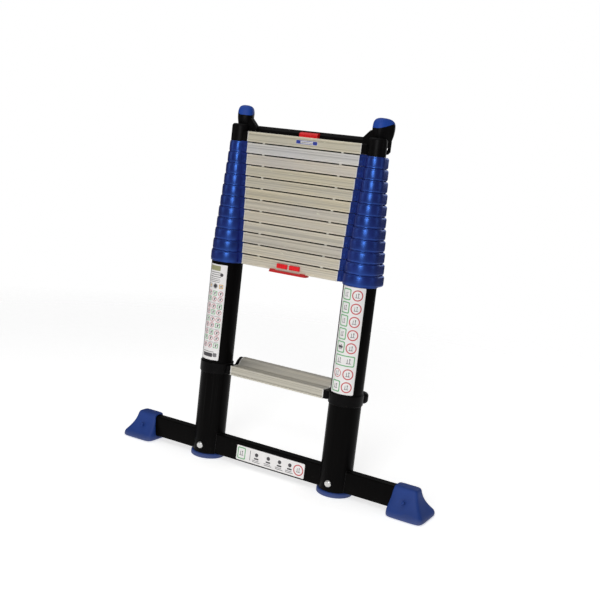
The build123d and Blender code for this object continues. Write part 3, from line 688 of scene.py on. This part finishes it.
bar_y = span("stabiliser_bar")[0].y
u_lo, u_hi, z_lo, z_hi = -0.0889, 0.1112, 0.0163, 0.0549
W, H = u_hi - u_lo, z_hi - z_lo
marks = [("box", "green", 0.075, 0.5, 0.0235, 0.0310, 0.0024), ("ring", "red", 0.915, 0.52, 0.0142, 0.0027)]
figure(marks, "dark", 0.075, 0.5, 0.018, W, H)
figure(marks, "dark", 0.915, 0.52, 0.017, W, H)
for k, x in enumerate((0.30, 0.475, 0.64, 0.79)):
    marks.append(("dot", "dark", x, 0.36, 0.0050))
    marks.append(("bar", "dark", x, 0.62, 0.0130, 0.0040))
    marks.append(("bar", "grey", x - 0.012, 0.76, 0.0190, 0.0016))
    marks.append(("bar", "grey", x, 0.86, 0.0220, 0.0016))
marks.append(("bar", "grey", 0.205, 0.5, 0.0016, 0.0260))
label("label_bar", on_front(bar_y), u_lo, u_hi, z_lo, z_hi, marks, "base", 12, 3)

lo13, hi13 = RUNG[13]
front = lo13.y + 0.0006
u_lo, u_hi, z_lo, z_hi = -0.0180, 0.0410, lo13.z + 0.0076, lo13.z + 0.0170
marks = [
    ("bar", "navy", 0.11, 0.5, 0.0115, 0.0084), ("bar", "navy", 0.89, 0.5, 0.0115, 0.0084),
    ("bar", "navy", 0.5, 0.14, 0.036, 0.0014), ("bar", "navy", 0.5, 0.86, 0.036, 0.0014),
    ("bar", "grey", 0.5, 0.51, 0.034, 0.0016),
]
label("label_head", on_front(front), u_lo, u_hi, z_lo, z_hi, marks, BODY_OF["rung_13"], 10, 2)

# ------------------------------------------------------------------ collar screws and rung bumpers
for i in range(1, 14):
    lo, hi = RUNG[i]
    body = BODY_OF["rung_%02d" % i]
    if i <= 12:
        plate_y = -0.0168
        s = Shape()
        for side in (-1, 1):
            screw_head(s, (side * (hi.x + 0.0056), plate_y, lo.z + 0.0112), (0, -1, 0), 0.0024, 0.0012, drive="hex")
        s.make("collar_rivets_%02d" % i, BLACK_COLLAR if i == 1 else BLUE, BODY_OF["collars_%02d" % i], "black_plastic" if i == 1 else "blue_plastic")
    if i >= 3:
        s = Shape()
        for side in (-1, 1):
            pill(s, (side * (hi.x - 0.0480), lo.y + 0.0042, lo.z - 0.00135), (0.0070, 0.0070, 0.0030))
        s.make("rung_bumpers_%02d" % i, BUMPER, body, "black_plastic")

# dark strip under each sliding rung, behind its lip, standing in for the shade in the gap between rungs
for i in range(3, 14):
    lo, hi = RUNG[i]
    s = Shape()
    x = hi.x - 0.0006
    n = 60
    prof = [(-0.0148, 0.0005), (-0.0146, -0.0022), (-0.0140, -0.0028), (-0.0128, -0.0028), (-0.0122, -0.0022), (-0.0120, 0.0005)]
    m = len(prof)
    verts = [(-x + 2 * x * k / n, y, lo.z + z) for k in range(n + 1) for y, z in prof]
    faces = [tuple(range(m)), tuple(reversed(range(n * m, (n + 1) * m)))]
    faces += [(k * m + j, k * m + (j + 1) % m, (k + 1) * m + (j + 1) % m, (k + 1) * m + j) for k in range(n) for j in range(m)]
    s.add(verts, faces)
    s.make("rung_seal_%02d" % i, BLACK_PL, BODY_OF["rung_%02d" % i], "black_plastic")

# front corner of each collar, between its rung's end plate and the next collar
for i in range(2, 13):
    lo, hi = RUNG[i]
    s = Shape()
    for side in (-1, 1):
        clo, chi = span("collars_%02d" % i)
        ro = tube_r(i) + 0.0028
        x0, x1 = hi.x + 0.0003, TUBE_X["right"] - math.sqrt(ro**2 - 0.0166**2) + 0.0012
        prof = [(-0.0166, 0.0205), (-0.0166, 0.0271), (-0.0161, 0.0276), (-0.0151, 0.0276), (-0.0146, 0.0271), (-0.0146, 0.0205)]
        n = len(prof)
        verts = [(side * x, y, lo.z + z) for x in (x0, x1) for y, z in prof]
        faces = [tuple(range(n)), tuple(reversed(range(n, 2 * n)))]
        faces += [(k, (k + 1) % n, n + (k + 1) % n, n + k) for k in range(n)]
        s.add(verts, faces)
    s.make("collar_corners_%02d" % i, BLUE, BODY_OF["collars_%02d" % i], "blue_plastic")


# outer skin of each blue collar, wrapping ring and knuckle in one sweep
for i in range(2, 13):
    ro = tube_r(i) + 0.0028
    ring_z0, ring_z1 = RUNG[i][0].z - 0.0016, RUNG[i][0].z + 0.0260
    rk = 0.0183 - 0.00075 * (i - 2)
    s = Shape()
    for side in (-1, 1):
        c0 = Vector((side * TUBE_X["right"], 0.0))
        a = math.radians(34.0)
        c1 = c0 + Vector((side * math.sin(a), math.cos(a))) * (ro - 0.0006)
        swing = math.degrees(math.acos((ro - rk) / (ro - 0.0006)))
        hi_a, lo_a = 34.0 + swing, 34.0 - swing
        path = []
        first = 180.0 + math.degrees(math.acos(0.0172 / ro))
        for k in range(31):
            w = first + (hi_a - first) * k / 30
            path.append((c0, ro, w, -0.0002 + 0.0008 * min(1.0, k / 4)))
        for k in range(21):
            w = hi_a + (lo_a - hi_a) * k / 20
            path.append((c1, rk, w, 0.0006))
        for k in range(6):
            w = lo_a - 14.0 * (k + 1) / 6
            path.append((c0, ro, w, 0.0006 - 0.0010 * (k + 1) / 6))
        z0, z1, q = ring_z0 + 0.0001, ring_z1 - 0.0001, 0.0056
        low = [(z0 + q - q * math.sin(math.radians(w)), -q + q * math.cos(math.radians(w))) for w in (90, 72, 54, 36, 18, 0)]
        high = [(z1 - q + q * math.sin(math.radians(w)), -q + q * math.cos(math.radians(w))) for w in (0, 18, 36, 54, 72, 90)]
        outer = low + high
        inner = [(z1, -q - 0.0004), (z0, -q - 0.0004)]
        loop = outer + inner
        m = len(loop)
        verts, faces = [], []
        for c, r, w, lift in path:
            for z, d in loop:
                rr = r + lift + d
                verts.append((c.x + side * rr * math.sin(math.radians(w)), c.y + rr * math.cos(math.radians(w)), z))
        n = len(path)
        for k in range(n - 1):
            for j in range(m):
                faces.append((k * m + j, k * m + (j + 1) % m, (k + 1) * m + (j + 1) % m, (k + 1) * m + j))
        faces.append(tuple(range(m)))
        faces.append(tuple(reversed(range((n - 1) * m, n * m))))
        s.add(verts, faces)
    s.make("collar_skins_%02d" % i, BLUE, BODY_OF["collars_%02d" % i], "blue_plastic", 40)


# ------------------------------------------------------------------ moulded shapes over the CAD solids
def evaluated(o):
    bpy.context.view_layer.update()
    dg = bpy.context.evaluated_depsgraph_get()
    me = bpy.data.meshes.new_from_object(o.evaluated_get(dg))
    return me


def keep(name, me, material, body, smooth_deg=None):
    me.name = name
    me.materials.clear()
    me.materials.append(material)
    for p in me.polygons:
        p.use_smooth = True
    o = bpy.data.objects.new(name, me)
    SCENE.collection.objects.link(o)
    if smooth_deg:
        bm = bmesh.new()
        bm.from_mesh(me)
        for e in bm.edges:
            if len(e.link_faces) == 2 and e.calc_face_angle(0.0) > math.radians(smooth_deg):
                e.smooth = False
        bm.to_mesh(me)
        bm.free()
    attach(o, body)
    return o


def soften(name, node, material, voxel, rounds, corner=0.0):
    """The CAD solid with its edges rolled over, as a moulded part has them."""
    src = NODES[node]
    tmp = bpy.data.objects.new("tmp_" + name, src.data.copy())
    SCENE.collection.objects.link(tmp)
    w = tmp.modifiers.new("weld", "WELD")
    w.merge_threshold = 0.00002
    m = tmp.modifiers.new("remesh", "REMESH")
    m.mode = "VOXEL"
    m.voxel_size = voxel
    me = evaluated(tmp)
    bpy.data.objects.remove(tmp)
    bm = bmesh.new()
    bm.from_mesh(me)
    if corner:
        clo, chi = span(node)
        for v in bm.verts:
            q = []
            for k in range(2):
                mid, half = (clo[k] + chi[k]) / 2, (chi[k] - clo[k]) / 2
                q.append((v.co[k] - mid, half - corner))
            ax, ay = abs(q[0][0]) - q[0][1], abs(q[1][0]) - q[1][1]
            if ax > 0 and ay > 0 and math.hypot(ax, ay) > corner:
                f = corner / math.hypot(ax, ay)
                v.co.x = (clo[0] + chi[0]) / 2 + math.copysign(q[0][1] + ax * f, q[0][0])
                v.co.y = (clo[1] + chi[1]) / 2 + math.copysign(q[1][1] + ay * f, q[1][0])
    for _ in range(rounds):
        bmesh.ops.smooth_vert(bm, verts=bm.verts[:], factor=0.5, use_axis_x=True, use_axis_y=True, use_axis_z=True)
    lo, hi = span(node)
    a = [min(v.co[k] for v in bm.verts) for k in range(3)]
    b = [max(v.co[k] for v in bm.verts) for k in range(3)]
    for v in bm.verts:
        for k in range(3):
            t = (v.co[k] - a[k]) / (b[k] - a[k])
            v.co[k] = lo[k] + 0.0001 + t * (hi[k] - lo[k] - 0.0002)
    bm.to_mesh(me)
    bm.free()
    o = keep(name, me, material, BODY_OF[node])
    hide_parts(node)
    return o


for side in ("left", "right"):
    soften("stabiliser_shoe_" + side, "stabiliser_foot_" + side, BLUE_RUBBER, 0.0018, 55, 0.024)

HEAD_RINGS = [
    (0.8560, -0.0150, 0.0300, 0.0170), (0.8640, -0.0160, 0.0320, 0.0175), (0.8700, -0.0176, 0.0340, 0.0184),
    (0.8760, -0.0188, 0.0352, 0.0196), (0.8840, -0.0192, 0.0359, 0.0205), (0.8930, -0.0191, 0.0360, 0.0207),
    (0.8990, -0.0184, 0.0352, 0.0200), (0.9040, -0.0166, 0.0330, 0.0186), (0.9080, -0.0134, 0.0285, 0.0160),
    (0.9106, -0.0088, 0.0215, 0.0116), (0.9118, -0.0028, 0.0135, 0.0060),
]


def head_bulb(side):
    """Plan-rounded head over the cap, in rings up the lug."""
    cx = TUBE_X["left" if side < 0 else "right"]
    a = math.radians(28.0)
    lug = Vector((side * math.sin(a), math.cos(a), 0))
    across = Vector((math.cos(a), -side * math.sin(a), 0))
    place = lambda t, n, z: Vector((cx - side * 0.0024, 0.012, 0)) + lug * t + across * n + Vector((0, 0, z))
    rows = []
    for k in range(len(HEAD_RINGS) - 1):
        p, q = HEAD_RINGS[k], HEAD_RINGS[k + 1]
        for s in range(3):
            f = s / 3
            rows.append([p[j] * (1 - f) + q[j] * f for j in range(4)])
    rows.append(list(HEAD_RINGS[-1]))
    for _ in range(2):
        rows = [rows[0]] + [[(rows[k - 1][j] + 2 * rows[k][j] + rows[k + 1][j]) / 4 for j in range(4)] for k in range(1, len(rows) - 1)] + [rows[-1]]
    seg = 64
    verts, faces = [], []
    for z, t0, t1, b in rows:
        c, h = (t0 + t1) / 2, (t1 - t0) / 2
        for k in range(seg):
            w = 2 * math.pi * k / seg
            e = 0.80
            x = math.copysign(abs(math.cos(w)) ** e, math.cos(w))
            y = math.copysign(abs(math.sin(w)) ** e, math.sin(w))
            verts.append(tuple(place(c + h * x, b * y, z)))
    for r in range(len(rows) - 1):
        for k in range(seg):
            j = (k + 1) % seg
            faces.append((r * seg + k, r * seg + j, (r + 1) * seg + j, (r + 1) * seg + k))
    faces.append(tuple(reversed(range(seg))))
    top = (len(rows) - 1) * seg
    verts.append(tuple(place(0.0055, 0, 0.9120)))
    faces += [(top + k, top + (k + 1) % seg, len(verts) - 1) for k in range(seg)]
    return verts, faces, place


def plain(name, verts, faces):
    me = bpy.data.meshes.new(name)
    me.from_pydata(verts, [], faces)
    bm = bmesh.new()
    bm.from_mesh(me)
    bmesh.ops.recalc_face_normals(bm, faces=bm.faces[:])
    bm.to_mesh(me)
    bm.free()
    o = bpy.data.objects.new(name, me)
    SCENE.collection.objects.link(o)
    return o


def cut(verts, faces, cutter, op):
    body = plain("tmp_body", verts, faces)
    tool = plain("tmp_tool", *cutter)
    m = body.modifiers.new("cut", "BOOLEAN")
    m.operation = op
    m.object = tool
    m.solver = "EXACT"
    me = evaluated(body)
    bpy.data.objects.remove(body)
    bpy.data.objects.remove(tool)
    return me


for side, word in ((-1, "left"), (1, "right")):
    verts, faces, place = head_bulb(side)

    def wedge(lift):
        line = [(-0.040, 0.8860), (-0.016, 0.8868), (0.0235, 0.9010), (0.0312, 0.8930), (0.0322, 0.8715), (0.060, 0.8715), (0.060, 0.8300), (-0.040, 0.8300)]
        pts = [(t + (lift * 0.8 if 0.03 < t < 0.04 else 0), z + (lift if z > 0.85 else 0)) for t, z in line]
        n = len(pts)
        v = [tuple(place(t, w, z)) for w in (-0.04, 0.04) for t, z in pts]
        f = [tuple(range(n)), tuple(reversed(range(n, 2 * n)))]
        f += [(k, n + k, n + (k + 1) % n, (k + 1) % n) for k in range(n)]
        return v, f

    me = cut(verts, faces, wedge(0.0), "INTERSECT")
    keep("head_shell_" + word, me, BLACK_PL, "head", 38)
    me = cut(verts, faces, wedge(0.0005), "DIFFERENCE")
    pad = keep("head_pad_" + word, me, BLUE_PAD, "head", 38)
    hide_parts("wall_pad_" + word)

# screws that hold the blue feet to the bar
s = Shape()
for side in ("left", "right"):
    lo, hi = span("stabiliser_foot_" + side)
    x = (-1 if side == "left" else 1) * 0.384
    screw_head(s, (x, -0.0405, 0.040), (0, -0.97, 0.24), 0.0042, 0.0016, sink=0.004)
s.make("foot_pins", BLUE_RUBBER, "base", "blue_rubber")

# ------------------------------------------------------------------ floor
def make_floor():
    a = Mat("pale_floor", specular=0.2)
    cloud = a.noise(a.scaled(1.2, 1.2, 1.2), 1.0, 3)
    fine = a.noise(a.scaled(1, 1, 1), 60, 3)
    colour = a.mix(cloud, (0.86, 0.86, 0.86), (0.90, 0.90, 0.90))
    a.bsdf.inputs["Emission Color"].default_value = (1.0, 1.0, 1.0, 1.0)
    a.bsdf.inputs["Emission Strength"].default_value = 0.55
    m = a.finish(colour, a.remap(fine, 0, 1, 0.75, 0.9), [(fine, 0.02, 0.0002)])
    flat = a.scaled(1, 1, 0)
    n = a.node("ShaderNodeVectorMath")
    n.operation = "LENGTH"
    a.nt.links.new(flat, n.inputs[0])
    fade = a.remap(n.outputs["Value"], 1.1, 2.6, 1.0, 0.0)
    a.put(fade, a.bsdf.inputs["Alpha"])
    return m


me = bpy.data.meshes.new("floor")
n = 96
verts = [(0, 0, 0)] + [(2.7 * math.cos(2 * math.pi * k / n), 2.7 * math.sin(2 * math.pi * k / n), 0) for k in range(n)]
me.from_pydata(verts, [], [(0, 1 + k, 1 + (k + 1) % n) for k in range(n)])
me.materials.append(make_floor())
floor = bpy.data.objects.new("floor", me)
floor.location = (0, 0, -0.0004)
SCENE.collection.objects.link(floor)

# ------------------------------------------------------------------ world and lights
world = bpy.data.worlds.new("studio")
SCENE.world = world
world.use_nodes = True
nt = world.node_tree
nt.nodes.clear()
out = nt.nodes.new("ShaderNodeOutputWorld")
lit = nt.nodes.new("ShaderNodeBackground")
lit.inputs["Color"].default_value = (1.0, 1.0, 1.0, 1.0)
lit.inputs["Strength"].default_value = 0.13
seen = nt.nodes.new("ShaderNodeBackground")
seen.inputs["Color"].default_value = (1.0, 1.0, 1.0, 1.0)
seen.inputs["Strength"].default_value = 1.0
ray = nt.nodes.new("ShaderNodeLightPath")
mixer = nt.nodes.new("ShaderNodeMixShader")
nt.links.new(ray.outputs["Is Camera Ray"], mixer.inputs[0])
nt.links.new(lit.outputs[0], mixer.inputs[1])
nt.links.new(seen.outputs[0], mixer.inputs[2])
nt.links.new(mixer.outputs[0], out.inputs["Surface"])


def area(name, at, look, size, power, colour=(1, 1, 1), size_y=None):
    d = bpy.data.lights.new(name, "AREA")
    d.energy = power
    d.color = colour
    d.shape = "RECTANGLE"
    d.size = size
    d.size_y = size_y or size
    o = bpy.data.objects.new(name, d)
    o.location = at
    o.rotation_euler = (Vector(look) - Vector(at)).to_track_quat("-Z", "Y").to_euler()
    SCENE.collection.objects.link(o)
    return o


area("key_box", (0.75, -2.6, 1.35), (0, 0, 0.5), 0.9, 36, size_y=1.7)
area("top_box", (-0.5, -0.2, 3.0), (0, 0, 0.3), 3.2, 30)
area("left_box", (-2.4, -1.5, 1.3), (0, 0, 0.5), 1.2, 5, size_y=1.8)
area("right_box", (2.4, 0.4, 1.2), (0, 0, 0.5), 0.8, 2.2, size_y=1.6)
area("back_box", (0.3, 2.8, 1.5), (0, 0, 0.5), 1.6, 12, size_y=1.6)

# ------------------------------------------------------------------ camera
yaw, pitch, roll = math.radians(28.027), math.radians(-9.244), math.radians(6.605)
f = Vector((-math.sin(yaw) * math.cos(pitch), math.cos(yaw) * math.cos(pitch), math.sin(pitch)))
r = Vector((math.cos(yaw), math.sin(yaw), 0.0))
u = r.cross(f)
r2 = math.cos(roll) * r + math.sin(roll) * u
u2 = -math.sin(roll) * r + math.cos(roll) * u
cam = bpy.data.cameras.new("camera")
cam.sensor_width = 36.0
cam.lens = 55.513
cam.clip_end = 100.0
camera = bpy.data.objects.new("camera", cam)
m = Matrix((
    (r2.x, u2.x, -f.x, 1.090948),
    (r2.y, u2.y, -f.y, -1.987467),
    (r2.z, u2.z, -f.z, 0.820717),
    (0, 0, 0, 1),
))
camera.matrix_world = m
SCENE.collection.objects.link(camera)
SCENE.camera = camera
SCENE.view_settings.view_transform = "Standard"
SCENE.view_settings.look = "None"
